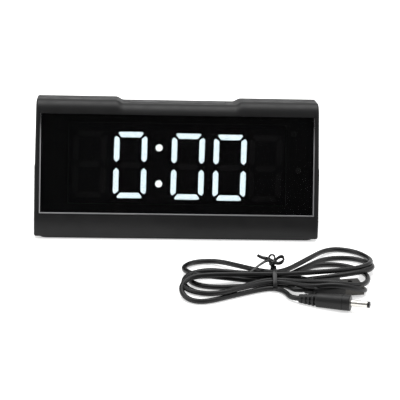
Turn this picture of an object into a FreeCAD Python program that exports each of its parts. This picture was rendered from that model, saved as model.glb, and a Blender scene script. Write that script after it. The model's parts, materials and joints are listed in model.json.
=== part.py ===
"""Digital alarm clock with its power lead, millimetres, +Z up.

X runs along the clock, Y from front to back. The origin is on the surface that the clock
stands on, under the middle of the case.
"""

import FreeCAD
import Part
import math
import os

from FreeCAD import Vector

os.makedirs("parts", exist_ok=True)

# ---- driving dimensions -------------------------------------------------------------

HALF_W = 81.6  # half the width of the case
FRONT_Y = -24.2  # foremost line of the chin
REAR_Y = 22.9  # flat back
CASE_BOTTOM = 1.6  # lower edge of the side walls
SEAM_Z = 39.6  # where the two shells meet
WALL = 2.2
TILT = 20.0  # the face leans back by this angle
TOP_FALL = 8.0  # the top falls towards the back by this angle
CHIN_Z = 4.2  # the chin is upright below this height
CHIN_R = 27.0
CHIN_TO_LENS = 1.1
LENS_H = 57.0
LENS_HALF = 78.8
LENS_T = 2.5
LENS_BEVEL = 0.8
LIP = 2.0  # straight strip between the lens and the rounded front edge of the top
TOP_R = 7.0
BACK_R = 4.5
DRAFT_UP = 0.5  # how much each side leans in above the seam
DRAFT_DOWN = 0.2
SEAM_STEP = 0.25
SIDE_R = 1.1

DIP = 1.9  # depth of the dip that holds the snooze bar
DIP_HALF = 31.0
RAMP = 4.6
DIP_MORE = 1.2  # the dip reaches a little further on the right
RAMP_STEPS = 6

PLINTH_INSET = 3.0
PLINTH_FRONT = 1.0
PLINTH_BOTTOM = 0.4
FOOT_R = 4.0
FOOT_AT = [(x, y) for x in (-64.0, 64.0) for y in (-15.0, 14.0)]

DIGIT_X = {"digit_hours": -27.1, "digit_tens": 5.9, "digit_units": 30.0}
DIGIT_V = 28.05  # height of the digits' middle above the lens's lower edge
ROW_DROP = -0.013  # the row of digits sinks slightly to the right, for each unit along it
DIGIT_H = 34.8  # between the middles of the top and bottom bars
DIGIT_W = 15.8
STROKE = 3.1
FLAT_HALF = 7.15  # half length of the top and bottom bars
MIDDLE_TIP = 1.72  # how far the side bars stay from the middle of the digit
OUTER_TIP = 16.6
SLANT = 1.1  # degrees
DARK_DIGIT_X = (-50.3, 50.6)  # a digit at each end of the row stays unlit
COLON_X = -10.6
COLON_V = (38.5, 17.9)
COLON_R = 2.0
BLOCK_X = (-62.3, 62.3)
BLOCK_V = (6.2, 52.4)
BLOCK_W = (2.95, 8.0)
INDICATORS = [(66.5, 47.5), (69.5, 26.5)]
WINDOW_X = 62.5  # half the width of the hole that the display looks through
WINDOW_V = (6.0, 52.6)

SNOOZE_HALF = 27.8
SNOOZE_S = (3.2, 11.8)  # along the top, from its front edge
SNOOZE_PROUD = 0.1

BOARD_Y = (14.0, 15.6)  # main board, front and back faces
PANEL_X = 70.0
PANEL_Z = (8.0, 58.0)
BUTTON_Z = 47.0
BUTTONS = {
    "set_button": -52.0,
    "alarm_button": -34.0,
    "up_button": -16.0,
    "down_button": 2.0,
    "dimmer_button": 20.0,
}
BUTTON_R = 3.5
BUTTON_PROUD = 1.3
SWITCH_X = 44.0
SWITCH_TRAVEL = 3.0
DOOR_X = (22.0, 54.0)
DOOR_Z = (12.0, 38.0)
CELL_AT = (38.0, 26.0)
CELL_R = 10.0
SOCKET_AT = (-58.0, 20.0)
BUZZER_AT = (-20.0, 24.0)

CORD_R = 1.4
PLUG_START = Vector(61.2, -111.2, 2.5)  # where the lead enters the barrel plug
PLUG_TURN = -21.0  # degrees, about Z, from +X
PLUG_PITCH = 4.1  # the plug lies on its wide end, so its barrel points a little up
PLUG_R = 4.15
USB_MIDDLE = Vector(76.9, -100.0, 3.5)
USB_TURN = 10.0
USB_HALF = (8.5, 6.5, 3.5)  # half the moulded body's length, width and thickness
USB_RELIEF = 3.5
USB_SHELL = 10.5  # how far the metal shell stands out of the body
HANK_TOP = 9.4
TIE_X = (48.6, 51.2)
TIE_THICK = 0.7

# ---- helpers ------------------------------------------------------------------------


def rad(angle):
    return math.radians(angle)


def box(x, y, z):
    """A box between two values on each axis."""
    return Part.makeBox(x[1] - x[0], y[1] - y[0], z[1] - z[0], Vector(x[0], y[0], z[0]))


def rod(radius, start, end):
    """A cylinder between two points."""
    along = Vector(*end) - Vector(*start)
    return Part.makeCylinder(radius, along.Length, Vector(*start), along)


def rounded_box(x, y, z, radius, axis):
    """A box whose edges along one axis are rounded."""
    solid = box(x, y, z)
    way = {"x": Vector(1, 0, 0), "y": Vector(0, 1, 0), "z": Vector(0, 0, 1)}[axis]
    edges = [e for e in solid.Edges if abs(e.tangentAt(e.FirstParameter).dot(way)) > 0.99]
    return solid.makeFillet(radius, edges)


def prism(points, direction):
    """A flat outline pushed along a direction."""
    wire = Part.makePolygon([Vector(*p) for p in [*points, points[0]]])
    return Part.Face(wire).extrude(Vector(*direction))


def group(solids):
    return Part.makeCompound(solids)


def fuse(solids):
    whole = solids[0]
    for one in solids[1:]:
        whole = whole.fuse(one)
    return whole.removeSplitter()


# The face's own axes: x along the clock, w into the case, v up the slant.
UP_FACE = Vector(0, math.sin(rad(TILT)), math.cos(rad(TILT)))
INTO_FACE = Vector(0, math.cos(rad(TILT)), -math.sin(rad(TILT)))
CHIN_TOP = Vector(
    0,
    FRONT_Y + CHIN_R * (1 - math.cos(rad(TILT))),
    CHIN_Z + CHIN_R * math.sin(rad(TILT)),
)
LENS_FOOT = CHIN_TOP + UP_FACE * CHIN_TO_LENS


def on_face(solid):
    """Moves a solid made in (x, w, v) to its place behind the face."""
    turned = solid.copy()
    turned.rotate(Vector(0, 0, 0), Vector(1, 0, 0), -TILT)
    turned.translate(LENS_FOOT)
    return turned


# The top's own axes in the dip: x along the clock, s towards the back, h out of the top.
def top_centre(drop):
    """Centre of the rounded front edge of the top, where the top is lowered by drop."""
    length = CHIN_TO_LENS + LENS_H + LIP - drop
    return CHIN_TOP + UP_FACE * length + INTO_FACE * TOP_R


TOP_NORMAL = Vector(0, math.sin(rad(TOP_FALL)), math.cos(rad(TOP_FALL)))
TOP_START = top_centre(DIP) + TOP_NORMAL * TOP_R


def on_top(solid):
    """Moves a solid made in (x, s, h) to its place on the top."""
    turned = solid.copy()
    turned.rotate(Vector(0, 0, 0), Vector(1, 0, 0), -TOP_FALL)
    turned.translate(TOP_START)
    return turned


# ---- case ---------------------------------------------------------------------------


def side_profile(x, drop, inset):
    """The case's side outline at x, with the top lowered by drop and drawn in by inset."""
    tilt = rad(TILT)
    fall = rad(TOP_FALL)
    front = FRONT_Y + inset
    back = REAR_Y - inset
    bottom = CASE_BOTTOM + inset
    chin_c = Vector(x, FRONT_Y + CHIN_R, CHIN_Z)
    chin_r = CHIN_R - inset
    top_c = top_centre(drop)
    top_c.x = x
    top_r = TOP_R - inset
    back_r = BACK_R - inset
    back_c = Vector(x, REAR_Y - BACK_R, 0)
    reach = back_c.y - top_c.y
    back_c.z = top_c.z + (TOP_R - BACK_R - reach * math.sin(fall)) / math.cos(fall)

    def at(centre, radius, angle):
        """The point at an angle from straight ahead (-Y), turning up and over the top."""
        return centre + Vector(0, -math.cos(angle), math.sin(angle)) * radius

    p0 = Vector(x, front, bottom)
    p1 = at(chin_c, chin_r, 0)
    p2 = at(chin_c, chin_r, tilt)
    p3 = at(top_c, top_r, tilt)
    p4 = at(top_c, top_r, math.pi / 2 + fall)
    p5 = at(back_c, back_r, math.pi / 2 + fall)
    p6 = at(back_c, back_r, math.pi)
    p7 = Vector(x, back, bottom)
    edges = [
        Part.LineSegment(p0, p1).toShape(),
        Part.Arc(p1, at(chin_c, chin_r, tilt / 2), p2).toShape(),
        Part.LineSegment(p2, p3).toShape(),
        Part.Arc(p3, at(top_c, top_r, (tilt + math.pi / 2 + fall) / 2), p4).toShape(),
        Part.LineSegment(p4, p5).toShape(),
        Part.Arc(p5, at(back_c, back_r, (math.pi * 3 / 2 + fall) / 2), p6).toShape(),
        Part.LineSegment(p6, p7).toShape(),
        Part.LineSegment(p7, p0).toShape(),
    ]
    return Part.Wire(edges)


def case_body(half, inset):
    """The case as one solid, dip included, out to x = half on each side."""
    right = []
    for i in range(RAMP_STEPS + 1):
        t = i / RAMP_STEPS
        right.append((DIP_HALF + RAMP * t, DIP * (1 - t * t * (3 - 2 * t))))
    left = [(-half, 0.0)] + [(-x, drop) for x, drop in reversed(right)]
    right = [(x + DIP_MORE, drop) for x, drop in right] + [(half, 0.0)]
    sections = [side_profile(x, drop, inset) for x, drop in left + right]
    return Part.makeLoft(sections, True, True)


def front_outline(side_low, side_high, low, high):
    """A slab seen from the front, wider at one height than at the other."""
    points = [
        (-side_low, -60, low),
        (side_low, -60, low),
        (side_high, -60, high),
        (-side_high, -60, high),
    ]
    return prism(points, (0, 120, 0))


def round_sides(solid):
    """Rounds the outline edges of both ends, leaving the seam's edges sharp."""
    edges = []
    for edge in solid.Edges:
        b = edge.BoundBox
        if min(abs(b.XMin), abs(b.XMax)) < HALF_W - 2:
            continue
        if abs(b.ZMin - SEAM_Z) < 0.01 and abs(b.ZMax - SEAM_Z) < 0.01:
            continue
        if b.XMin * b.XMax < 0:
            continue
        edges.append(edge)
    return solid.makeFillet(SIDE_R, edges)


def lens_openings():
    """What is cut from the shells: the lens's pocket, its tongue slot and the window."""
    pocket = box((-LENS_HALF - 0.1, LENS_HALF + 0.1), (-8, LENS_T + 0.05), (-0.1, LENS_H + 0.1))
    slot = box((-LENS_HALF - 0.1, LENS_HALF + 0.1), (1.05, LENS_T + 0.05), (LENS_H, LENS_H + 1.3))
    window = box((-WINDOW_X, WINDOW_X), (-8, 6.0), WINDOW_V)
    lamps = [rod(1.6, (x, 0, v), (x, 7.0, v)) for x, v in INDICATORS]
    return [on_face(s) for s in (pocket, slot, window, *lamps)]


def screw_posts():
    """Where the case screws hold the two shells together, and each post's height."""
    return [(x, y, 30.0) for x in (-74.8, 74.8) for y in (3.0, 15.0)]


def display_posts(low, high):
    """Posts on the back of the window's ledge that the display board is screwed to."""
    posts = []
    for x, v in display_screws_at():
        post = rod(2.2, (x, 4.0, v), (x, BLOCK_W[1], v))
        post = on_face(post.cut(rod(0.9, (x, 4.6, v), (x, 12, v))))
        if low < post.BoundBox.ZMin and post.BoundBox.ZMax < high:
            posts.append(post)
    return posts


def make_shells():
    outer = case_body(HALF_W + 3, 0.0)
    inner = case_body(HALF_W - WALL, WALL)
    ledge = on_face(box((-79.5, 79.5), (LENS_T, 4.3), (-1.5, LENS_H + 1.5)))
    shells = {}
    slabs = {
        "lower_shell": (HALF_W - DRAFT_DOWN, HALF_W, CASE_BOTTOM - 1, SEAM_Z),
        "upper_shell": (HALF_W - SEAM_STEP, HALF_W - SEAM_STEP - DRAFT_UP, SEAM_Z, 90.0),
    }
    for name, (side_low, side_high, low, high) in slabs.items():
        slab = front_outline(side_low, side_high, low, high)
        skin = round_sides(outer.common(slab))
        shell = skin.cut(inner)
        shell = shell.fuse(ledge.common(skin))
        for tool in lens_openings():
            shell = shell.cut(tool)
        for post in display_posts(low, high):
            shell = shell.fuse(post)
        shells[name] = shell.removeSplitter()
    return shells


def rear_opening():
    return rounded_box((-PANEL_X, PANEL_X), (REAR_Y - 6, REAR_Y + 6), PANEL_Z, 3.0, "y")


def make_lower(shell):
    x = HALF_W - DRAFT_DOWN - PLINTH_INSET
    y = (FRONT_Y + PLINTH_FRONT, REAR_Y - PLINTH_FRONT)
    plinth = rounded_box((-x, x), y, (PLINTH_BOTTOM, CASE_BOTTOM + 1.0), 4.0, "z")
    shell = shell.fuse(plinth)
    for px, py, top in screw_posts():
        shell = shell.fuse(rod(2.9, (px, py, CASE_BOTTOM + 1), (px, py, top)))
    for px, py, top in screw_posts():
        shell = shell.cut(rod(1.4, (px, py, -1), (px, py, top + 1)))
        shell = shell.cut(rod(2.4, (px, py, -1), (px, py, 6.0)))
    for fx, fy in FOOT_AT:
        shell = shell.cut(rod(FOOT_R + 0.05, (fx, fy, 0), (fx, fy, 1.2)))
    shell = shell.cut(rear_opening())
    for bx in (-64.0, 64.0):
        lug = box((bx - 3, bx + 3), (16.6, REAR_Y - 2.15), (CASE_BOTTOM + 1, 11.4))
        lug = lug.cut(rod(1.0, (bx, 16, 9.6), (bx, REAR_Y, 9.6)))
        shell = shell.fuse(lug)
    for sx, sz in board_screws_at():
        if sz < SEAM_Z:
            post = rod(2.4, (sx, BOARD_Y[0], sz), (sx, BOARD_Y[0] - 4, sz))
            foot = box((sx - 2.4, sx + 2.4), (BOARD_Y[0] - 4, BOARD_Y[0]), (CASE_BOTTOM + 1, sz))
            post = post.fuse(foot)
            post = post.cut(rod(0.9, (sx, BOARD_Y[0] + 1, sz), (sx, BOARD_Y[0] - 3.4, sz)))
            shell = shell.fuse(post)
    return shell.removeSplitter()


def make_upper(shell):
    slot = rounded_box(
        (-SNOOZE_HALF - 0.2, SNOOZE_HALF + 0.2),
        (SNOOZE_S[0] - 0.2, SNOOZE_S[1] + 0.2),
        (-5, 5),
        1.7,
        "z",
    )
    shell = shell.cut(on_top(slot))
    shell = shell.cut(rear_opening())
    for px, py, top in screw_posts():
        post = rod(2.9, (px, py, top + 0.2), (px, py, 47.0))
        wall_x = math.copysign(HALF_W - WALL + 0.3, px)
        web = box(sorted((px, wall_x)), (py - 1, py + 1), (SEAM_Z + 0.2, 47.0))
        post = post.fuse(web).cut(rod(1.25, (px, py, top - 1), (px, py, top + 8.0)))
        shell = shell.fuse(post)
    for bx in (-31.2, 31.2):
        post = rod(1.8, (bx, 8.5, -7.7), (bx, 8.5, -1.2))
        post = post.cut(rod(0.9, (bx, 8.5, -8), (bx, 8.5, -3.4)))
        shell = shell.fuse(on_top(post))
    for bx in (-64.0, 64.0):
        lug = box((bx - 3, bx + 3), (16.6, REAR_Y - 2.15), (54.8, 64.0))
        lug = lug.cut(rod(1.0, (bx, 16, 56.4), (bx, REAR_Y, 56.4)))
        shell = shell.fuse(lug)
    for sx, sz in board_screws_at():
        if sz > SEAM_Z:
            post = box((sx - 2.4, sx + 2.4), (BOARD_Y[0] - 4, BOARD_Y[0]), (sz - 2.4, 80.0))
            post = post.cut(rod(0.9, (sx, BOARD_Y[0] + 1, sz), (sx, BOARD_Y[0] - 3.4, sz)))
            shell = shell.fuse(post.common(case_body(HALF_W - WALL, WALL - 0.4)))
    return shell.removeSplitter()


def make_lens():
    lens = box((-LENS_HALF, LENS_HALF), (0, LENS_T), (0, LENS_H))
    edges = []
    for edge in lens.Edges:
        b = edge.BoundBox
        at_top = b.ZMin > LENS_H - 0.01
        if b.YMax < 0.01 and not at_top:
            edges.append(edge)
    lens = lens.makeChamfer(LENS_BEVEL, edges)
    tongue = box((-LENS_HALF, LENS_HALF), (1.1, LENS_T), (LENS_H - 0.5, LENS_H + 1.2))
    return on_face(lens.fuse(tongue).removeSplitter())


# ---- display ------------------------------------------------------------------------


def bar_outlines(grow):
    """The seven bars about the digit's middle: a top, b c right, d bottom, e f left, g middle."""
    side = STROKE / 2 + grow
    half = FLAT_HALF + grow
    low = MIDDLE_TIP - grow
    high = OUTER_TIP + grow
    waist = DIGIT_W / 2 - MIDDLE_TIP + grow
    flat = [(half, side / 2), (half - 0.6, side), (0.6 - half, side), (-half, side / 2)]
    flat += [(1.8 - half, -side), (half - 1.8, -side)]
    post = [(0, low), (side, low + side), (side, high - 1.2), (side * 0.3, high)]
    post += [(-side, high - 1.6), (-side, low + side)]
    middle = [(waist, 0), (waist - side, side), (side - waist, side), (-waist, 0)]
    middle += [(side - waist, -side), (waist - side, -side)]
    outlines = {"g": middle}
    for name, up in (("a", 1), ("d", -1)):
        outlines[name] = [(x, up * (DIGIT_H / 2 + v)) for x, v in flat]
    for name, across, up in (("b", 1, 1), ("c", 1, -1), ("e", -1, -1), ("f", -1, 1)):
        outlines[name] = [(across * (DIGIT_W / 2 + x), up * v) for x, v in post]
    return outlines


def digit_bars(cx, names, grow=0.0):
    """The named bars of one digit, thick enough to pass through the block."""
    lean = math.tan(rad(SLANT))
    depth = BLOCK_W[1] - BLOCK_W[0] - (0.0 if grow else 1.0)
    outlines = bar_outlines(grow)
    bars = []
    for name in names:
        points = []
        for x, v in outlines[name]:
            v += cx * ROW_DROP
            points.append((cx + x + v * lean, BLOCK_W[0], DIGIT_V + v))
        bars.append(prism(points, (0, depth, 0)))
    return bars


def colon_rods(radius, depth):
    start, end = BLOCK_W[0], BLOCK_W[0] + depth
    return [rod(radius, (COLON_X, start, v), (COLON_X, end, v)) for v in COLON_V]


def make_display():
    nodes = {}
    cuts = []
    for name, cx in DIGIT_X.items():
        nodes[name] = on_face(group(digit_bars(cx, "abcdef")))
        cuts += digit_bars(cx, "abcdefg", 0.03)
    unlit = [bars for cx in DIGIT_X.values() for bars in digit_bars(cx, "g")]
    for cx in DARK_DIGIT_X:
        unlit += digit_bars(cx, "abcdefg")
        cuts += digit_bars(cx, "abcdefg", 0.03)
    cuts += colon_rods(COLON_R + 0.03, BLOCK_W[1] - BLOCK_W[0])
    nodes["segments_unlit"] = on_face(group(unlit))
    nodes["colon_dots"] = on_face(group(colon_rods(COLON_R, BLOCK_W[1] - BLOCK_W[0] - 1.0)))
    block = rounded_box(BLOCK_X, BLOCK_W, BLOCK_V, 1.5, "y")
    for tool in cuts:
        block = block.cut(tool)
    nodes["reflector_block"] = on_face(block)

    low, high = WINDOW_V
    film = box((0.2 - WINDOW_X, WINDOW_X - 0.2), (LENS_T, LENS_T + 0.3), (low + 0.2, high - 0.2))
    nodes["display_filter"] = on_face(film)

    board = box((-70.0, 71.5), (BLOCK_W[1], BLOCK_W[1] + 1.6), (6.5, 52.0))
    for x, v in display_screws_at():
        board = board.cut(rod(1.25, (x, 6, v), (x, 12, v)))
    nodes["display_board"] = on_face(board)

    chips = []
    for bars in cuts[:-2]:
        c = bars.CenterOfMass
        y = (BLOCK_W[1] - 0.8, BLOCK_W[1])
        chips.append(box((c.x - 1.0, c.x + 1.0), y, (c.z - 0.6, c.z + 0.6)))
    for v in COLON_V:
        y = (BLOCK_W[1] - 0.8, BLOCK_W[1])
        chips.append(box((COLON_X - 1, COLON_X + 1), y, (v - 0.6, v + 0.6)))
    nodes["led_chips"] = on_face(group(chips))

    lamps = []
    for x, v in INDICATORS:
        lamp = rod(1.5, (x, 4.2, v), (x, BLOCK_W[1], v))
        lamps.append(lamp.fuse(rod(1.8, (x, 7.0, v), (x, BLOCK_W[1], v))))
    nodes["indicator_lamps"] = on_face(group(lamps))
    return nodes


def display_screws_at():
    return [(x, v) for x in (-66.0, 66.0) for v in (10.0, 40.0)]


# ---- boards and what is on them -----------------------------------------------------


def board_screws_at():
    return [(x, z) for x in (-66.5, 66.5) for z in (14.0, 52.0)]


def key_places():
    return [(x, BUTTON_Z) for x in BUTTONS.values()]


def make_boards():
    nodes = {}
    board = box((-69.0, 69.0), BOARD_Y, (6.0, 56.0))
    sx, sz = SOCKET_AT
    board = board.cut(box((sx - 4.7, sx + 4.7), (10, 20), (sz - 4.7, sz + 4.7)))
    for x, z in board_screws_at():
        board = board.cut(rod(1.25, (x, 10, z), (x, 20, z)))
    nodes["main_board"] = board

    front = BOARD_Y[0]
    chip = box((-6.0, 6.0), (front - 2.3, front - 0.2), (26.0, 34.0))
    legs = []
    for i in range(10):
        x = -5.0 + i * 10.0 / 9
        for side in (-1, 1):
            z = sorted((30.0 + side * 4.0, 30.0 + side * 5.0))
            legs.append(box((x - 0.2, x + 0.2), (front - 1.0, front), z))
    nodes["clock_chip"] = chip
    nodes["chip_legs"] = group(legs)
    nodes["crystal"] = rod(1.5, (14.0, front - 1.5, 26.0), (14.0, front - 1.5, 34.0))
    cans = []
    for x, z in ((-44.0, 16.0), (-44.0, 26.0), (-36.0, 16.0)):
        cans.append(rod(3.15, (x, front, z), (x, front - 7.0, z)))
    nodes["capacitors"] = group(cans)
    nodes["regulator"] = box((-31.0, -24.5), (front - 1.8, front), (12.0, 18.0))

    cases = []
    for x, z in key_places():
        case = box((x - 3, x + 3), (BOARD_Y[1], BOARD_Y[1] + 3.5), (z - 3, z + 3))
        cases.append(case.cut(rod(1.7, (x, BOARD_Y[1] + 1.6, z), (x, 30, z))))
    nodes["key_switches"] = group(cases)

    bx, bz = BUZZER_AT
    disc = rod(6.5, (bx, BOARD_Y[1], bz), (bx, BOARD_Y[1] + 4.4, bz))
    nodes["buzzer"] = disc.cut(rod(1.0, (bx, BOARD_Y[1] + 2, bz), (bx, 30, bz)))

    body = box((sx - 4.5, sx + 4.5), (9.5, 20.6), (sz - 4.5, sz + 4.5))
    body = body.fuse(rod(3.6, (sx, 20.5, sz), (sx, REAR_Y - 0.3, sz)))
    nodes["dc_socket"] = body.cut(rod(1.85, (sx, 12.6, sz), (sx, 30, sz))).removeSplitter()
    nodes["dc_socket_pin"] = rod(0.65, (sx, 12.6, sz), (sx, REAR_Y - 1.4, sz))

    headers = [box((-48.0, -30.0), (9.6, 12.2), (9.0, 12.0))]
    headers[0] = on_face(headers[0])
    headers.append(box((-18.0, 0.0), (front - 2.6, front), (9.0, 12.0)))
    nodes["board_headers"] = group(headers)
    return nodes


def make_ribbon():
    """The flat cable from the display board to the main board."""
    start = LENS_FOOT + INTO_FACE * 12.9 + UP_FACE * 10.5
    end = Vector(0, BOARD_Y[0] - 2.6, 10.5)
    thick = 0.5
    low = [
        (start.y, start.z - thick / 2),
        (start.y + 3.0, start.z - thick / 2 - 1.0),
        (end.y - 4.0, end.z - thick / 2),
        (end.y, end.z - thick / 2),
    ]
    high = [(y, z + thick) for y, z in reversed(low)]
    x0, x1, shift = -46.0, -32.0, 30.0
    points = [(x0, y, z) for y, z in low + high]
    wire = Part.makePolygon([Vector(*p) for p in [*points, points[0]]])
    straight = Part.Face(wire).extrude(Vector(x1 - x0, 0, 0))
    skew = FreeCAD.Matrix()
    rate = shift / (end.y - start.y)
    skew.A12 = rate
    skew.A14 = -rate * start.y
    return straight.transformGeometry(skew)


# ---- rear panel, buttons, switch, battery -------------------------------------------


def make_panel():
    gap = 0.15
    x = (-PANEL_X + gap, PANEL_X - gap)
    z = (PANEL_Z[0] + gap, PANEL_Z[1] - gap)
    panel = rounded_box(x, (REAR_Y - 2.1, REAR_Y), z, 2.9, "y")
    for bx, bz in key_places():
        panel = panel.cut(rod(BUTTON_R + 0.15, (bx, 10, bz), (bx, 30, bz)))
    left = SWITCH_X - SWITCH_TRAVEL / 2 - 2.3
    right = SWITCH_X + SWITCH_TRAVEL / 2 + 2.3
    panel = panel.cut(box((left, right), (10, 30), (BUTTON_Z - 1.9, BUTTON_Z + 1.9)))
    door = box((DOOR_X[0] - 0.2, DOOR_X[1] + 0.2), (10, 30), (DOOR_Z[0] - 0.3, DOOR_Z[1] + 0.25))
    panel = panel.cut(door)
    for side, px in ((-1, DOOR_X[0]), (1, DOOR_X[1])):
        panel = panel.cut(rod(0.65, (px - side, *HINGE), (px + side * 1.6, *HINGE)))
    sx, sz = SOCKET_AT
    panel = panel.cut(rod(3.8, (sx, 10, sz), (sx, 30, sz)))
    bx, bz = BUZZER_AT
    for i in range(-2, 3):
        panel = panel.cut(box((bx - 5, bx + 5), (10, 30), (bz + i * 2.6 - 0.6, bz + i * 2.6 + 0.6)))
    for px in (-64.0, 64.0):
        for pz in (9.6, 56.4):
            panel = panel.cut(rod(1.3, (px, 10, pz), (px, 30, pz)))
    return panel


HINGE = (REAR_Y - 1.05, DOOR_Z[0] + 1.05)


def make_door():
    """The battery door: rounded about its hinge line, with two short pins."""
    plate = box(DOOR_X, (REAR_Y - 2.1, REAR_Y), (HINGE[1], DOOR_Z[1]))
    barrel = rod(1.05, (DOOR_X[0], *HINGE), (DOOR_X[1], *HINGE))
    pins = rod(0.6, (DOOR_X[0] - 1.2, *HINGE), (DOOR_X[1] + 1.2, *HINGE))
    door = plate.fuse(barrel).fuse(pins)
    mid = (DOOR_X[0] + DOOR_X[1]) / 2
    nick = rod(5.0, (mid, REAR_Y + 4.0, DOOR_Z[1] + 0.8), (mid, REAR_Y + 4.0, DOOR_Z[1] - 3.0))
    return door.cut(nick).removeSplitter()


def make_battery():
    cx, cz = CELL_AT
    y0 = BOARD_Y[1]
    holder = box((cx - 12.5, cx + 12.5), (y0, y0 + 4.9), (cz - 11.2, cz + 11.2))
    pocket = rod(CELL_R + 0.25, (cx, y0 + 1.0, cz), (cx, 30, cz))
    holder = holder.cut(pocket)
    cell = rod(CELL_R, (cx, y0 + 1.3, cz), (cx, y0 + 4.3, cz))
    cell = cell.fuse(rod(CELL_R - 1.2, (cx, y0 + 1.2, cz), (cx, y0 + 1.4, cz)))
    contact = box((cx - 6, cx + 6), (y0 + 1.0, y0 + 1.2), (cz - 2, cz + 2))
    return {
        "cell_holder": holder,
        "coin_cell": cell.removeSplitter(),
        "cell_contact": contact,
    }


def make_buttons():
    nodes = {}
    flange_back = BOARD_Y[1] + 4.3
    for name, x in BUTTONS.items():
        cap = rod(BUTTON_R, (x, flange_back + 0.2, BUTTON_Z), (x, REAR_Y + BUTTON_PROUD, BUTTON_Z))
        rim = [e for e in cap.Edges if e.BoundBox.YMin > REAR_Y + BUTTON_PROUD - 0.01]
        cap = cap.makeFillet(0.5, rim[:1])
        flange = rod(4.4, (x, flange_back, BUTTON_Z), (x, flange_back + 0.7, BUTTON_Z))
        nodes[name] = cap.fuse(flange).removeSplitter()
        plunger = rod(1.6, (x, flange_back - 1.6, BUTTON_Z), (x, flange_back, BUTTON_Z))
        nodes[name.replace("button", "plunger")] = plunger
    return nodes


def make_slide_switch():
    """The switch stands at its left end of travel, seen from the front."""
    y0 = BOARD_Y[1]
    rest = SWITCH_X - SWITCH_TRAVEL / 2
    case = box((SWITCH_X - 6, SWITCH_X + 6), (y0, y0 + 4.0), (BUTTON_Z - 3, BUTTON_Z + 3))
    left = rest - 1.65
    right = rest + SWITCH_TRAVEL + 1.65
    case = case.cut(box((left, right), (y0 + 1.8, 30), (BUTTON_Z - 1.65, BUTTON_Z + 1.65)))
    knob = box((rest - 1.5, rest + 1.5), (y0 + 2.0, REAR_Y + 1.2), (BUTTON_Z - 1.5, BUTTON_Z + 1.5))
    for i in (-1, 0, 1):
        x = rest + i * 0.9
        ridge = box((x - 0.15, x + 0.15), (REAR_Y + 0.9, 30), (BUTTON_Z - 2, BUTTON_Z + 2))
        knob = knob.cut(ridge)
    return {"alarm_switch_body": case, "alarm_switch_knob": knob}


# ---- snooze -------------------------------------------------------------------------

SNOOZE_KEYS = (-17.0, 17.0)


def make_snooze():
    nodes = {}
    low, high = SNOOZE_S
    cap = rounded_box((-SNOOZE_HALF, SNOOZE_HALF), (low, high), (-2.7, SNOOZE_PROUD), 1.5, "z")
    upper = [e for e in cap.Edges if e.BoundBox.ZMin > SNOOZE_PROUD - 0.01]
    cap = cap.makeFillet(0.25, upper)
    flange = box((-28.8, 28.8), (low - 0.9, high + 0.9), (-3.4, -2.5))
    nodes["snooze_bar"] = on_top(cap.fuse(flange).removeSplitter())
    mid = (low + high) / 2
    plungers = [rod(1.6, (x, mid, -5.0), (x, mid, -3.4)) for x in SNOOZE_KEYS]
    nodes["snooze_plungers"] = on_top(group(plungers))
    cases = []
    for x in SNOOZE_KEYS:
        case = box((x - 3, x + 3), (mid - 3, mid + 3), (-7.7, -4.2))
        cases.append(case.cut(rod(1.7, (x, mid, -6.0), (x, mid, 0))))
    nodes["snooze_switches"] = on_top(group(cases))
    board = box((-33.5, 33.5), (4.2, 13.2), (-9.3, -7.7))
    for x in (-31.2, 31.2):
        board = board.cut(rod(1.1, (x, 8.5, -12), (x, 8.5, 0)))
    nodes["snooze_board"] = on_top(board)
    return nodes


# ---- fasteners and feet -------------------------------------------------------------


def screw(radius, length, head_r, head_h):
    """A screw pointing down -Z with its head's underside at the origin."""
    shank = Part.makeCylinder(radius, length, Vector(0, 0, -length))
    head = Part.makeCylinder(head_r, head_h)
    cross = box((-head_r * 0.6, head_r * 0.6), (-0.2, 0.2), (head_h * 0.5, head_h + 1))
    slot = box((-0.2, 0.2), (-head_r * 0.6, head_r * 0.6), (head_h * 0.5, head_h + 1))
    return shank.fuse(head).removeSplitter().cut(cross).cut(slot)


def placed(solid, point, direction):
    """Turns a solid so that its +Z points along direction, and moves it to point."""
    moved = solid.copy()
    turn = FreeCAD.Rotation(Vector(0, 0, 1), Vector(*direction))
    moved.Placement = FreeCAD.Placement(Vector(*point), turn)
    return moved


def make_fasteners():
    nodes = {}
    out = []
    for px, py, top in screw_posts():
        out.append(placed(screw(1.25, 30.0, 2.2, 1.6), (px, py, 6.0), (0, 0, -1)))
    nodes["case_screws"] = group(out)
    out = []
    for px in (-64.0, 64.0):
        for pz in (9.6, 56.4):
            out.append(placed(screw(1.0, 5.0, 2.0, 0.9), (px, REAR_Y, pz), (0, 1, 0)))
    nodes["panel_screws"] = group(out)
    out = []
    for x, z in board_screws_at():
        out.append(placed(screw(0.9, 4.8, 2.0, 0.9), (x, BOARD_Y[1], z), (0, 1, 0)))
    for x in (-31.2, 31.2):
        one = placed(screw(0.9, 5.0, 1.9, 0.9), (x, 8.5, -9.3), (0, 0, -1))
        out.append(on_top(one))
    for x, v in display_screws_at():
        one = placed(screw(0.9, 4.8, 1.9, 0.9), (x, BLOCK_W[1] + 1.6, v), (0, 1, 0))
        out.append(on_face(one))
    nodes["board_screws"] = group(out)
    out = []
    for fx, fy in FOOT_AT:
        foot = rod(FOOT_R, (fx, fy, 0), (fx, fy, 1.2))
        low = [e for e in foot.Edges if e.BoundBox.ZMax < 0.01]
        out.append(foot.makeFillet(0.3, low))
    nodes["rubber_feet"] = group(out)
    return nodes


# ---- power lead ---------------------------------------------------------------------


def heading(turn, pitch=0.0):
    """The direction at turn degrees about Z from +X, raised by pitch degrees."""
    level = math.cos(rad(pitch))
    return Vector(level * math.cos(rad(turn)), level * math.sin(rad(turn)), math.sin(rad(pitch)))


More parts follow.
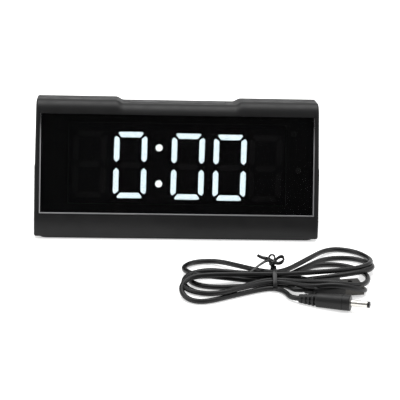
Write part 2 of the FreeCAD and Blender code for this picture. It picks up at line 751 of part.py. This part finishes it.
def make_barrel_plug():
    """The plug for the clock's socket: moulded body, plated barrel and insulating tip."""
    way = heading(PLUG_TURN, PLUG_PITCH)
    spot = FreeCAD.Placement(PLUG_START, FreeCAD.Rotation(Vector(0, 0, 1), way))
    relief = Part.makeCone(2.2, 3.7, 10.0)
    body = Part.makeCone(3.7, PLUG_R, 13.5, Vector(0, 0, 10.0))
    collar = Part.makeCylinder(PLUG_R, 4.0, Vector(0, 0, 23.5))
    collar = collar.makeFillet(0.6, [e for e in collar.Edges if e.BoundBox.ZMin > 27.4])
    whole = relief.fuse(body).fuse(collar)
    groove = Part.makeCylinder(PLUG_R + 1, 0.35, Vector(0, 0, 23.3))
    groove = groove.cut(Part.makeCylinder(PLUG_R - 0.25, 0.35, Vector(0, 0, 23.3)))
    whole = whole.cut(groove)
    for i in range(4):
        ring = Part.makeCylinder(PLUG_R + 1, 1.1, Vector(0, 0, 1.6 + i * 2.2))
        ring = ring.cut(Part.makeCylinder(1.9, 1.1, Vector(0, 0, 1.6 + i * 2.2)))
        spine = 0.9 if i % 2 else 1.0
        keep = Part.makeBox(20, spine * 2, 20, Vector(-10, -spine, -2))
        whole = whole.cut(ring.cut(keep))
    whole = whole.cut(Part.makeCylinder(1.0, 3.0, Vector(0, 0, 24.5)))
    barrel = Part.makeCylinder(1.75, 11.8, Vector(0, 0, 24.5))
    whole = whole.cut(barrel)
    barrel = barrel.cut(Part.makeCylinder(1.15, 11.8, Vector(0, 0, 24.5)))
    tip = Part.makeCylinder(1.7, 1.3, Vector(0, 0, 36.3))
    tip = tip.fuse(Part.makeCylinder(1.15, 11.8, Vector(0, 0, 24.5)))
    tip = tip.cut(Part.makeCylinder(0.65, 9.6, Vector(0, 0, 28.0)))
    nodes = {
        "dc_plug_body": whole,
        "dc_plug_barrel": barrel,
        "dc_plug_tip": tip.removeSplitter(),
    }
    for solid in nodes.values():
        solid.Placement = spot
    return nodes


def make_usb_plug():
    """The plug at the lead's other end, its mouth towards +X."""
    half_l, half_w, half_t = USB_HALF
    mouth = half_l + USB_SHELL
    body = rounded_box((-half_l, half_l), (-half_w, half_w), (-half_t, half_t), 1.6, "x")
    body = body.fuse(Part.makeCone(2.6, 1.9, USB_RELIEF, Vector(-half_l, 0, 0), Vector(-1, 0, 0)))
    shell = box((half_l - 5.0, mouth), (-6.0, 6.0), (-2.25, 2.25))
    body = body.cut(shell)
    hollow = box((half_l - 4.7, mouth), (-5.7, 5.7), (-1.95, 1.95))
    tongue = box((half_l - 4.7, mouth - 1.0), (-5.6, 5.6), (-1.9, 0.0))
    metal = shell.cut(hollow)
    for side in (-2.5, 2.5):
        metal = metal.cut(box((half_l + 4.0, half_l + 6.2), (side - 1.1, side + 1.1), (1, 3)))
    nodes = {
        "usb_plug_body": body.removeSplitter(),
        "usb_plug_shell": metal,
        "usb_plug_tongue": tongue,
    }
    for name, solid in nodes.items():
        solid.rotate(Vector(0, 0, 0), Vector(0, 0, 1), USB_TURN)
        solid.translate(USB_MIDDLE)
    return nodes


HANK_OUTLINE = [
    (44, -79.5),
    (32, -64),
    (20, -57.5),
    (8, -59),
    (1, -67),
    (-1, -90),
    (-1.5, -106),
    (4, -116),
    (13, -118),
    (30, -108),
    (45, -97),
    (53.5, -97),
    (64, -97.5),
    (67, -106.5),
    (80, -107.0),
    (94, -104.5),
    (101, -97),
    (104, -84),
    (108.5, -68),
    (108.5, -52),
    (100, -39),
    (89, -37),
    (76, -43),
    (64, -63),
    (56, -79.5),
]


def make_hank():
    """The folded bundle's outer shape: two fans of loops drawn together at the tie."""
    hank = prism([(x, y, 0) for x, y in HANK_OUTLINE], (0, 0, HANK_TOP))
    upper = [e for e in hank.Edges if e.BoundBox.ZMin > HANK_TOP - 0.01]
    hank = hank.makeChamfer(1.5, upper)
    hank = hank.cut(usb_space())
    return hank.cut(box(TIE_X, (-200, 0), (-1, TIE_THICK)))


def make_tie(hank):
    middle = (TIE_X[0] + TIE_X[1]) / 2
    slice_box = box(TIE_X, (-120, -60), (TIE_THICK, 20))
    core = hank.common(slice_box)
    bounds = core.BoundBox
    y = (bounds.YMin - TIE_THICK, bounds.YMax + TIE_THICK)
    band = box(TIE_X, y, (0, bounds.ZMax + TIE_THICK)).cut(core)
    top = bounds.ZMax + TIE_THICK
    knot = rod(1.0, (middle, -84.0, top + 1.0), (middle, -76.0, top - 2.4))
    tail = rod(0.8, (middle - 0.5, -79.0, top + 0.4), (middle - 15.0, -86.5, top + 0.4))
    return band.fuse(knot.cut(core)).fuse(tail.cut(hank)).removeSplitter()


def bent_tube(points, radius):
    """Straight runs joined by tangent arcs, each as large as its two runs allow."""
    corners = [Vector(*p) for p in points]
    edges = []
    start = corners[0]
    length = 0.0
    radii = []
    for before, here, after in zip(corners, corners[1:], corners[2:]):
        into = (here - before).normalize()
        out = (after - here).normalize()
        turn = into.getAngle(out)
        shorter = min((here - before).Length, (after - here).Length)
        cut = 0.45 * shorter
        bend = cut / math.tan(turn / 2)
        first = here - into * cut
        last = here + out * cut
        middle = (out - into).normalize()
        centre = here + middle * (bend / math.cos(turn / 2))
        edges.append(Part.LineSegment(start, first).toShape())
        edges.append(Part.Arc(first, centre - middle * bend, last).toShape())
        length += (first - start).Length + bend * turn
        radii.append(round(bend, 1))
        start = last
    edges.append(Part.LineSegment(start, corners[-1]).toShape())
    length += (corners[-1] - start).Length
    path = Part.Wire(edges)
    ring = Part.Wire(Part.Circle(corners[0], corners[1] - corners[0], radius).toShape())
    tube = path.makePipeShell([ring], True, True)
    wanted = math.pi * radius * radius * length
    print("tube", round(length, 1), "mm, radii", radii, "volume", round(tube.Volume / wanted, 4))
    return tube


def make_lead():
    """The stretch from the hank's waist to the barrel plug, and the one to the other plug."""
    inside_plug = PLUG_START + heading(PLUG_TURN, PLUG_PITCH) * 0.6
    corners = [(46.0, -95.4, 1.5), (53.4, -97.4, 1.6), (55.8, -109.0, 1.9), tuple(inside_plug)]
    lead = bent_tube(corners, CORD_R)
    leave = USB_MIDDLE - heading(USB_TURN) * (USB_HALF[0] + USB_RELIEF)
    corners = [tuple(leave), (59.4, -103.2, 3.4), (55.9, -97.0, 3.0), (55.5, -85.0, 2.6)]
    tail = bent_tube(corners, CORD_R)
    return lead, tail


def usb_space():
    """Room round the second plug, which lies under the loops."""
    half_l, half_w, half_t = USB_HALF
    back = half_l + USB_RELIEF + 0.4
    front = half_l + USB_SHELL + 0.4
    room = box((-back, front), (-half_w - 0.2, half_w + 0.2), (-half_t - 1, half_t + 0.2))
    room.rotate(Vector(0, 0, 0), Vector(0, 0, 1), USB_TURN)
    room.translate(USB_MIDDLE)
    return room


def make_cable():
    nodes = make_barrel_plug()
    nodes.update(make_usb_plug())
    hank = make_hank()
    lead, tail = make_lead()
    nodes["cord_lead"] = lead.cut(hank).cut(nodes["dc_plug_body"])
    nodes["cord_tail"] = tail.cut(hank).cut(nodes["usb_plug_body"])
    nodes["cord_hank"] = hank
    nodes["cord_tie"] = make_tie(hank).cut(nodes["cord_lead"])
    return nodes


# ---- everything ---------------------------------------------------------------------


def build():
    shells = make_shells()
    nodes = {
        "lower_shell": make_lower(shells["lower_shell"]),
        "upper_shell": make_upper(shells["upper_shell"]),
        "display_lens": make_lens(),
        "rear_panel": make_panel(),
        "battery_door": make_door(),
        "display_cable": make_ribbon(),
    }
    for made in (
        make_display(),
        make_boards(),
        make_battery(),
        make_buttons(),
        make_slide_switch(),
        make_snooze(),
        make_fasteners(),
        make_cable(),
    ):
        nodes.update(made)
    return nodes


for node, shape in build().items():
    if not shape.isValid():
        print("not valid:", node)
    shape.exportStep("parts/" + node + ".step")
    print(node, round(shape.Volume, 1), len(shape.Solids))
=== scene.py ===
import bpy
import json
import math

from mathutils import Matrix, Vector


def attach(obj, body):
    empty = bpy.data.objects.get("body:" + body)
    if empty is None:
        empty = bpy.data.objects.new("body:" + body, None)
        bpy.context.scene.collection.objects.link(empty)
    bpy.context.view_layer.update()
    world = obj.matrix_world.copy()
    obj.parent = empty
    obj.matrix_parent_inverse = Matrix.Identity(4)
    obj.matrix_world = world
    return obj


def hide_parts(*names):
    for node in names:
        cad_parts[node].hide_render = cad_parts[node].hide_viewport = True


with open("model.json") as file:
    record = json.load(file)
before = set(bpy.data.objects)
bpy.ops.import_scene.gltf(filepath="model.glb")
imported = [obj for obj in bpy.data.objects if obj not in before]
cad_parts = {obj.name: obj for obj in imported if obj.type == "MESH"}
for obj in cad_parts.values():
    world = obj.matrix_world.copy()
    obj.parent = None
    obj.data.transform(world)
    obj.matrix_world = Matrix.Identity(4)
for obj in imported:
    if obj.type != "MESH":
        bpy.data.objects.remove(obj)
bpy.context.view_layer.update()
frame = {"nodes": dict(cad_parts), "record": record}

MM = 0.001

# ---- camera ---------------------------------------------------------------------------

AIM = Vector((14.17, 0.0, 15.87)) * MM
AZIMUTH = math.radians(-3.357)
ELEVATION = math.radians(20.0)
ROLL = math.radians(1.914)
DISTANCE = 0.9
FOCAL_MM = 138.5
SENSOR_MM = 36.0

back = Vector((
    math.sin(AZIMUTH) * math.cos(ELEVATION),
    -math.cos(AZIMUTH) * math.cos(ELEVATION),
    math.sin(ELEVATION),
))
level = Vector((math.cos(AZIMUTH), math.sin(AZIMUTH), 0.0))
upright = back.cross(level)
right = level * math.cos(ROLL) + upright * math.sin(ROLL)
up = upright * math.cos(ROLL) - level * math.sin(ROLL)
lens = bpy.data.cameras.new("camera")
lens.lens = FOCAL_MM
lens.sensor_width = SENSOR_MM
lens.clip_start = 0.05
lens.clip_end = 50.0
camera = bpy.data.objects.new("camera", lens)
bpy.context.scene.collection.objects.link(camera)
turn = Matrix((right, up, back)).transposed()
camera.matrix_world = Matrix.Translation(AIM + back * DISTANCE) @ turn.to_4x4()
bpy.context.scene.camera = camera

# ---- material nodes -------------------------------------------------------------------

materials = {}


class Shader:
    """A material with one Principled shader, listed by name, with short calls for its nodes."""

    def __init__(self, name, color, rough, **values):
        materials[name] = self
        self.material = bpy.data.materials.new(name)
        self.material.use_nodes = True
        self.tree = self.material.node_tree
        self.bsdf = self.tree.nodes["Principled BSDF"]
        self.color = color
        self.bsdf.inputs["Base Color"].default_value = (*color, 1.0)
        self.bsdf.inputs["Roughness"].default_value = rough
        for key, value in values.items():
            socket = self.bsdf.inputs[key.replace("_", " ")]
            socket.default_value = value
        self.place = self.tree.nodes.new("ShaderNodeTexCoord").outputs["Object"]
        self.height = None

    def node(self, kind, **values):
        made = self.tree.nodes.new(kind)
        for key, value in values.items():
            setattr(made, key, value)
        return made

    def link(self, start, end):
        self.tree.links.new(start, end)

    def noise(self, scale, detail=2.0, stretch=None):
        made = self.node("ShaderNodeTexNoise")
        made.inputs["Scale"].default_value = scale
        made.inputs["Detail"].default_value = detail
        place = self.place
        if stretch:
            mapping = self.node("ShaderNodeMapping")
            mapping.inputs["Scale"].default_value = stretch
            self.link(self.place, mapping.inputs["Vector"])
            place = mapping.outputs["Vector"]
        self.link(place, made.inputs["Vector"])
        return made.outputs["Fac"]

    def span(self, value, low, high, start=0.3, end=0.7):
        made = self.node("ShaderNodeMapRange")
        made.inputs["From Min"].default_value = start
        made.inputs["From Max"].default_value = end
        made.inputs["To Min"].default_value = low
        made.inputs["To Max"].default_value = high
        self.link(value, made.inputs["Value"])
        return made.outputs["Result"]

    def maths(self, operation, one, two):
        made = self.node("ShaderNodeMath", operation=operation)
        for socket, value in zip(made.inputs, (one, two)):
            if isinstance(value, (int, float)):
                socket.default_value = value
            else:
                self.link(value, socket)
        return made.outputs["Value"]

    def mottle(self, scale, amount):
        """Slight changes of colour from place to place."""
        self.blend_color(self.span(self.noise(scale), 0.0, 1.0), [c * amount for c in self.color])
        return self

    def blend_color(self, factor, other):
        mix = self.node("ShaderNodeMix", data_type="RGBA")
        before = self.bsdf.inputs["Base Color"]
        if before.is_linked:
            self.link(before.links[0].from_socket, mix.inputs[6])
        else:
            mix.inputs[6].default_value = before.default_value
        mix.inputs[7].default_value = (*other, 1.0)
        self.link(factor, mix.inputs[0])
        self.link(mix.outputs[2], before)
        return self

    def wear(self, scale, low, high, stretch=None):
        """Roughness that changes from place to place."""
        rough = self.span(self.noise(scale, 4.0, stretch), low, high)
        self.link(rough, self.bsdf.inputs["Roughness"])
        return self

    def bumps(self, value, distance, strength=1.0):
        made = self.node("ShaderNodeBump")
        made.inputs["Distance"].default_value = distance
        made.inputs["Strength"].default_value = strength
        self.link(value, made.inputs["Height"])
        if self.height:
            self.link(self.height.outputs["Normal"], made.inputs["Normal"])
        self.link(made.outputs["Normal"], self.bsdf.inputs["Normal"])
        self.height = made
        return self

    def grain(self, scale, distance, strength=1.0, stretch=None):
        return self.bumps(self.noise(scale, 3.0, stretch), distance, strength)


def moulded(name, color, rough, grain=2600.0, depth=0.00004, spread=0.06, **values):
    """Moulded plastic: fine grain, slightly uneven gloss and colour."""
    made = Shader(name, color, rough, **values)
    made.mottle(90.0, 1.25)
    made.wear(140.0, rough - spread, rough + spread)
    made.grain(grain, depth, 0.6)
    made.grain(45.0, 0.00012, 0.25)
    return made


def metal(name, color, rough, stretch, **values):
    made = Shader(name, color, rough, Metallic=1.0, **values)
    made.mottle(260.0, 0.88)
    made.wear(900.0, max(0.03, rough - 0.05), rough + 0.08, stretch)
    made.grain(1500.0, 0.00001, 0.5, stretch)
    return made


case = moulded(
    "case_black", (0.0058, 0.0058, 0.0061), 0.43, 2100.0, 0.00009, Specular_IOR_Level=0.26,
)
case.grain(5200.0, 0.00003, 0.5)
moulded(
    "gloss_black", (0.0058, 0.0058, 0.0062), 0.38, 2600.0, 0.00003, Specular_IOR_Level=0.26,
)
moulded("button_black", (0.014, 0.014, 0.015), 0.34)

# Dark tinted acrylic. Its slanted edge is given a painted light-grey highlight and made opaque
# there; the painted highlight fades towards the top.
LENS_ALPHA = 0.45
pane = Shader("lens_smoke", (0.0022, 0.0022, 0.0024), 0.045, Alpha=LENS_ALPHA, IOR=1.45)
pane.wear(60.0, 0.03, 0.06)
pane.grain(18.0, 0.00002, 0.15)
LENS_LEAN = math.radians(20.0)
face_way = (0.0, -math.cos(LENS_LEAN), math.sin(LENS_LEAN))
normal = pane.node("ShaderNodeNewGeometry").outputs["Normal"]
facing = pane.node("ShaderNodeVectorMath", operation="DOT_PRODUCT")
pane.link(normal, facing.inputs[0])
facing.inputs[1].default_value = face_way
# Painted highlight mask: the faces that lean away from the lens face, which are its slanted edge.
painted_rim_highlight = pane.maths("MULTIPLY", pane.span(facing.outputs["Value"], 1.0, 0.0, 0.80, 0.96),
                  pane.span(facing.outputs["Value"], 0.0, 1.0, 0.2, 0.5))
height = pane.node("ShaderNodeSeparateXYZ")
pane.link(pane.place, height.inputs[0])
# Less painted highlight towards the top, where the lip shades the edge.
rim_highlight_fade = pane.span(height.outputs["Z"], 1.0, 0.35, 0.052, 0.068)
painted_rim_highlight = pane.maths("MULTIPLY", painted_rim_highlight, rim_highlight_fade)
# Paint the light-grey highlight into the colour and make the edge opaque.
pane.blend_color(painted_rim_highlight, (0.42, 0.42, 0.43))
pane.link(pane.maths("MAXIMUM", painted_rim_highlight, LENS_ALPHA), pane.bsdf.inputs["Alpha"])

film = Shader("film_smoke", (0.01, 0.01, 0.011), 0.35, Alpha=0.15)
film.mottle(300.0, 1.3).grain(900.0, 0.00001, 0.3)

lit = Shader("segment_lit", (0.75, 0.85, 0.88), 0.4,
             Emission_Color=(0.80, 0.94, 1.0, 1.0), Emission_Strength=4.5)
lit.mottle(700.0, 0.93).grain(1400.0, 0.00002, 0.4)
dot = Shader("colon_lit", (0.85, 0.88, 0.88), 0.4,
             Emission_Color=(0.95, 1.0, 1.0, 1.0), Emission_Strength=4.8)
dot.mottle(700.0, 0.93).grain(1400.0, 0.00002, 0.4)
moulded("segment_dark", (0.026, 0.026, 0.027), 0.4, 1400.0, 0.00002)
lamp = moulded("lamp_dark", (0.022, 0.022, 0.023), 0.4, 1400.0, 0.00002)
# The white reflector is given a near-black colour: painted shade, for the dark inside of the case
# seen through the lens.
moulded(
    "reflector_white", (0.012, 0.012, 0.0123), 0.6, 1200.0, 0.00003, Specular_IOR_Level=0.2,
)

board = Shader("board_green", (0.012, 0.075, 0.03), 0.32)
tracks = board.node("ShaderNodeTexBrick", offset=0.5)
tracks.inputs["Scale"].default_value = 95.0
tracks.inputs["Mortar Size"].default_value = 0.03
tracks.inputs["Brick Width"].default_value = 0.9
tracks.inputs["Row Height"].default_value = 0.22
turned = board.node("ShaderNodeMapping")
turned.inputs["Rotation"].default_value = (math.radians(90.0), 0.0, 0.0)
board.link(board.place, turned.inputs["Vector"])
board.link(turned.outputs["Vector"], tracks.inputs["Vector"])
board.blend_color(tracks.outputs["Fac"], (0.03, 0.14, 0.055))
board.bumps(tracks.outputs["Fac"], 0.00003, 0.6).wear(400.0, 0.26, 0.4)

moulded("chip_black", (0.02, 0.02, 0.021), 0.55, 3500.0)
metal("tin_plate", (0.72, 0.72, 0.70), 0.25, (1.0, 1.0, 6.0))
moulded("led_yellow", (0.8, 0.7, 0.25), 0.35)
moulded("capacitor_sleeve", (0.015, 0.016, 0.05), 0.25, 900.0)
moulded("switch_black", (0.02, 0.02, 0.021), 0.45)
moulded("plunger_white", (0.7, 0.7, 0.67), 0.4)
moulded("header_white", (0.74, 0.73, 0.68), 0.42)
ribbon = moulded("ribbon_grey", (0.42, 0.42, 0.43), 0.38)
strands = ribbon.node("ShaderNodeTexWave", bands_direction="X")
strands.inputs["Scale"].default_value = 250.0
ribbon.link(ribbon.place, strands.inputs["Vector"])
ribbon.bumps(strands.outputs["Fac"], 0.0002, 0.8)
metal("cell_steel", (0.66, 0.66, 0.65), 0.22, (1.0, 8.0, 1.0))
metal("contact_brass", (0.78, 0.6, 0.3), 0.22, (1.0, 8.0, 1.0))
metal("screw_steel", (0.42, 0.42, 0.43), 0.3, (1.0, 1.0, 1.0))
moulded("foot_rubber", (0.022, 0.022, 0.022), 0.7, 1500.0, 0.0001)
cable = moulded(
    "cord_pvc", (0.0035, 0.0035, 0.0037), 0.36, 1700.0, 0.00006, 0.05, Specular_IOR_Level=0.3,
)
moulded(
    "tie_black", (0.0028, 0.0028, 0.003), 0.28, 1200.0, 0.00005, Specular_IOR_Level=0.35,
)
moulded(
    "plug_black", (0.0045, 0.0045, 0.0047), 0.42, 1900.0, 0.00008, Specular_IOR_Level=0.3,
)
metal("plug_nickel", (0.72, 0.70, 0.66), 0.14, (1.0, 1.0, 1.0))
# The plug's metal shell is given a dark colour: painted shade, for the shell lying in shade under
# the strands.
metal("shell_dark", (0.05, 0.048, 0.045), 0.3, (1.0, 1.0, 1.0))
moulded("tongue_white", (0.82, 0.82, 0.82), 0.4)


def dress(obj, shader):
    obj.data.materials.clear()
    obj.data.materials.append(shader.material)


for part in frame["record"]["subparts"]:
    node = frame["nodes"][part["node"]]
    for place in node.material_slots:
        place.material = materials[part["material_slot"]].material
for place in frame["nodes"]["colon_dots"].material_slots:
    place.material = dot.material
for place in frame["nodes"]["indicator_lamps"].material_slots:
    place.material = lamp.material

# ---- power lead -----------------------------------------------------------------------

CORD_D = 2.8
WAIST_X = 50.0
WAIST_HALF = 5.0  # half the length that lies side by side
# Where the strands lie side by side under the tie, one after another along the lead: y and z.
SLOTS = [
    (-91.6, 1.5), (-84.6, 1.5), (-90.8, 4.2), (-83.6, 4.2), (-93.6, 4.2),
    (-81.8, 1.5), (-88.1, 1.6), (-86.2, 6.8), (-89.2, 6.8), (-95.0, 1.5),
]
# Each loop of the hank, left and right by turns: its middle x, y, its half length and half
# width, the angles where its bend starts and ends, and its heights along the bend.
LOOPS = [
    (17.5, -83.5, 14.0, 12.5, -80, -280, (1.5, 1.5, 1.5, 1.5, 1.5)),
    (84.0, -82.5, 19.5, 23.0, 115, -105, (1.5, 1.6, 2.6, 4.8, 9.0)),
    (15.0, -92.0, 14.8, 13.2, -79, -285, (1.5, 1.5, 2.9, 4.3, 4.3)),
    (84.0, -98.0, 15.0, 9.0, 105, -105, (1.5, 1.5, 1.6, 5.4, 8.8)),
    (15.0, -98.8, 15.5, 12.6, -80, -285, (4.3, 4.3, 4.3, 4.8, 4.3)),
    (91.0, -66.5, 17.0, 16.0, 125, -85, (1.5, 1.5, 2.2, 4.4, 4.6)),
    (16.0, -73.0, 15.0, 15.0, -80, -290, (4.4, 4.2, 2.6, 1.6, 1.8)),
    (89.5, -58.5, 18.5, 20.8, 103, -85, (1.6, 1.6, 2.2, 5.2, 5.6)),
    (12.0, -103.2, 13.0, 12.4, 80, 265, (6.9, 6.4, 4.0, 1.5, 1.5)),
]
# How far some strands bow towards the front on their way back to the tie.
SPREAD = {1: -1.0, 3: -5.0}


def halfway(one, two):
    return tuple((a + b) / 2 for a, b in zip(one, two))


def hank_points():
    points = []
    for number, (x, y, long, wide, first, last, heights) in enumerate(LOOPS):
        side = -1 if number % 2 == 0 else 1
        start = (WAIST_X + side * WAIST_HALF, *SLOTS[number])
        end = (WAIST_X + side * WAIST_HALF, *SLOTS[number + 1])
        bend = []
        for step, z in enumerate(heights):
            angle = math.radians(first + (last - first) * step / 4)
            bend.append((x + long * math.cos(angle), y + wide * math.sin(angle), z))
        points.append((WAIST_X - side * WAIST_HALF, *SLOTS[number]))
        points.append(start)
        points.append(halfway(start, bend[0]))
        points += bend
        x, y, z = halfway(bend[4], end)
        points.append((x, y + SPREAD.get(number, 0.0), z))
    return points


route = [(65.3, -102.1, 3.5), (60.2, -102.4, 3.4), (57.6, -96.4, 2.4)]
route += hank_points()
route += [
    (45.0, -96.0, 1.5),
    (51.5, -96.3, 1.55),
    (55.2, -101.5, 1.7),
    (56.6, -107.6, 1.9),
    (59.4, -110.5, 2.35),
    (61.7, -111.4, 2.55),
]


def line_object(name, points, order=3):
    curve = bpy.data.curves.new(name, "CURVE")
    curve.dimensions = "3D"
    spline = curve.splines.new("NURBS")
    spline.points.add(len(points) - 1)
    for point, place in zip(spline.points, points):
        point.co = (*[v * MM for v in place], 1.0)
    spline.order_u = order
    spline.use_endpoint_u = True
    spline.resolution_u = 8
    obj = bpy.data.objects.new(name, curve)
    bpy.context.scene.collection.objects.link(obj)
    return obj


cord = line_object("power_cord", route)
cord.data.bevel_depth = CORD_D / 2 * MM
cord.data.bevel_resolution = 5
dress(cord, cable)
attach(cord, "case")
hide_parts("cord_lead", "cord_tail", "cord_hank")

# ---- wire tie -------------------------------------------------------------------------


def read_line(points):
    """The places along a smooth line that the given control points shape."""
    guide = line_object("guide", points)
    bpy.context.view_layer.update()
    mesh = bpy.data.meshes.new_from_object(guide)
    places = [v.co.copy() for v in mesh.vertices]
    bpy.data.objects.remove(guide)
    bpy.data.meshes.remove(mesh)
    return places


RIBBON_SIDES = 16
WIRE_SHARE = 0.28  # the wire's half width as a share of the ribbon's


def ribbon_mesh(name, points, flat, half_width, thick):
    """A flat plastic ribbon with a round wire along its middle, following a line.
    flat is the direction across the ribbon at its start and at its end."""
    places = read_line(points)
    section = []
    for i in range(RIBBON_SIDES):
        angle = 2 * math.pi * i / RIBBON_SIDES
        across = math.cos(angle)
        core = math.exp(-(across / WIRE_SHARE) ** 2)
        section.append((across * half_width, math.sin(angle) * thick * (0.45 + 0.55 * core)))
    verts = []
    faces = []
    last = len(places) - 1
    for i, place in enumerate(places):
        ahead = places[min(i + 1, last)] - places[max(i - 1, 0)]
        ahead.normalize()
        side = flat[0].lerp(flat[1], i / last)
        side = (side - ahead * side.dot(ahead)).normalized()
        out = ahead.cross(side)
        for across, rise in section:
            verts.append(place + side * across * MM + out * rise * MM)
    ring = len(section)
    for i in range(last):
        for j in range(ring):
            k = (j + 1) % ring
            faces.append((i * ring + j, i * ring + k, (i + 1) * ring + k, (i + 1) * ring + j))
    faces.append(tuple(range(ring - 1, -1, -1)))
    faces.append(tuple(last * ring + j for j in range(ring)))
    mesh = bpy.data.meshes.new(name)
    mesh.from_pydata(verts, [], faces)
    for face in mesh.polygons:
        face.use_smooth = len(face.vertices) == 4
    return mesh


X = Vector((1.0, 0.0, 0.0))
Y = Vector((0.0, 1.0, 0.0))
Z = Vector((0.0, 0.0, 1.0))
# Each piece of the tie: its points, with x counted from the waist, the ways across it at its
# start and end, its half width and its half thickness.
TIE = {
    "tie_band": (
        [(0.4, -83.0, 9.0), (0.0, -88.5, 9.2), (0.0, -94.0, 6.6), (-0.2, -98.6, 2.8),
         (0.0, -97.6, 0.35), (0.0, -90.0, 0.3), (0.0, -82.0, 0.3), (0.0, -78.9, 1.8),
         (0.0, -79.2, 6.0), (-0.4, -81.5, 9.4), (-0.2, -84.0, 10.4)],
        (X, X), 1.15, 0.3,
    ),
    "tie_loop_top": (
        [(-1.5, -83.5, 10.0), (-3.0, -81.5, 12.2), (-1.6, -79.0, 13.9),
         (0.4, -78.6, 13.7), (1.0, -80.0, 12.0), (0.0, -83.5, 9.8)],
        (Vector((0.5, 0.85, 0.0)), Y), 0.95, 0.55,
    ),
    "tie_loop_right": (
        [(-0.5, -82.5, 10.6), (2.5, -80.0, 12.8), (5.0, -79.2, 13.2),
         (5.9, -80.7, 11.9), (4.2, -82.5, 10.6), (1.5, -83.0, 10.4),
         (-0.6, -82.6, 11.2)],
        (Z, Vector((0.0, 0.5, 0.85))), 0.95, 0.55,
    ),
    "tie_end_short": (
        [(0.6, -82.5, 11.0), (-3.0, -81.0, 12.6), (-6.0, -79.8, 12.2),
         (-8.6, -79.0, 13.6)],
        (Z, Vector((0.0, 0.8, 0.6))), 0.95, 0.55,
    ),
    "tie_end_long": (
        [(0.2, -81.8, 11.4), (-3.0, -82.0, 12.2), (-6.5, -84.0, 10.8),
         (-11.0, -87.0, 8.6), (-15.5, -89.5, 6.4)],
        (Vector((0.3, 0.8, 0.5)), Vector((0.4, 0.9, 0.2))), 0.95, 0.55,
    ),
    "tie_knot": (
        [(-1.9, -84.4, 10.0), (-0.6, -85.0, 11.6), (0.6, -83.0, 12.4),
         (1.0, -80.8, 11.4), (0.2, -80.0, 9.4)],
        (X, X), 1.2, 0.7,
    ),
}
for name, (points, flat, half_width, thick) in TIE.items():
    points = [(WAIST_X + x, y, z) for x, y, z in points]
    mesh = ribbon_mesh(name, points, flat, half_width, thick)
    piece = bpy.data.objects.new(name, mesh)
    bpy.context.scene.collection.objects.link(piece)
    dress(piece, materials["tie_black"])
    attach(piece, "case")
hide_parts("cord_tie")

# ---- floor and light ------------------------------------------------------------------


def add_plane(name, half_x, half_y, place, facing, shader):
    mesh = bpy.data.meshes.new(name)
    corners = [(x * half_x, y * half_y, 0) for x, y in ((-1, -1), (1, -1), (1, 1), (-1, 1))]
    mesh.from_pydata(corners, [], [(0, 1, 2, 3)])
    obj = bpy.data.objects.new(name, mesh)
    bpy.context.scene.collection.objects.link(obj)
    obj.location = place
    obj.rotation_mode = "QUATERNION"
    obj.rotation_quaternion = Vector(facing).to_track_quat("Z", "Y")
    dress(obj, shader)
    return obj


paper = Shader("floor_paper", (0.86, 0.86, 0.86), 0.85, Specular_IOR_Level=0.1,
               Emission_Color=(1.0, 1.0, 1.0, 1.0), Emission_Strength=0.5)
paper.mottle(4.0, 0.995).grain(300.0, 0.00005, 0.1)
add_plane("floor", 4.0, 4.0, (0.0, 0.0, -0.0001), (0, 0, 1), paper)
# Stands behind the camera, so that the lens mirrors something dark.
dark = Shader("dark_card", (0.004, 0.004, 0.004), 0.9, Specular_IOR_Level=0.0)
card = add_plane("dark_card", 0.55, 0.30, AIM + back * 1.15, -back, dark)
card.visible_camera = False

world = bpy.data.worlds.new("studio")
bpy.context.scene.world = world
world.use_nodes = True
world.node_tree.nodes["Background"].inputs["Color"].default_value = (1.0, 1.0, 1.0, 1.0)
world.node_tree.nodes["Background"].inputs["Strength"].default_value = 0.6


def add_light(name, place, aim, size, power):
    lamp = bpy.data.lights.new(name, "AREA")
    lamp.shape = "RECTANGLE"
    lamp.size, lamp.size_y = size
    lamp.energy = power
    obj = bpy.data.objects.new(name, lamp)
    bpy.context.scene.collection.objects.link(obj)
    obj.location = place
    obj.rotation_mode = "QUATERNION"
    obj.rotation_quaternion = (Vector(place) - Vector(aim)).to_track_quat("Z", "Y")
    return obj


add_light("softbox_top", (0.0, 0.25, 1.5), (0.0, 0.0, 0.0), (1.6, 1.2), 22.0)
add_light("softbox_left", (-1.3, -0.3, 0.7), (0.0, 0.0, 0.03), (0.8, 0.8), 5.0)
add_light("softbox_right", (1.4, -0.2, 0.7), (0.0, 0.0, 0.03), (0.8, 0.8), 4.0)

bpy.context.scene.view_settings.view_transform = "Standard"
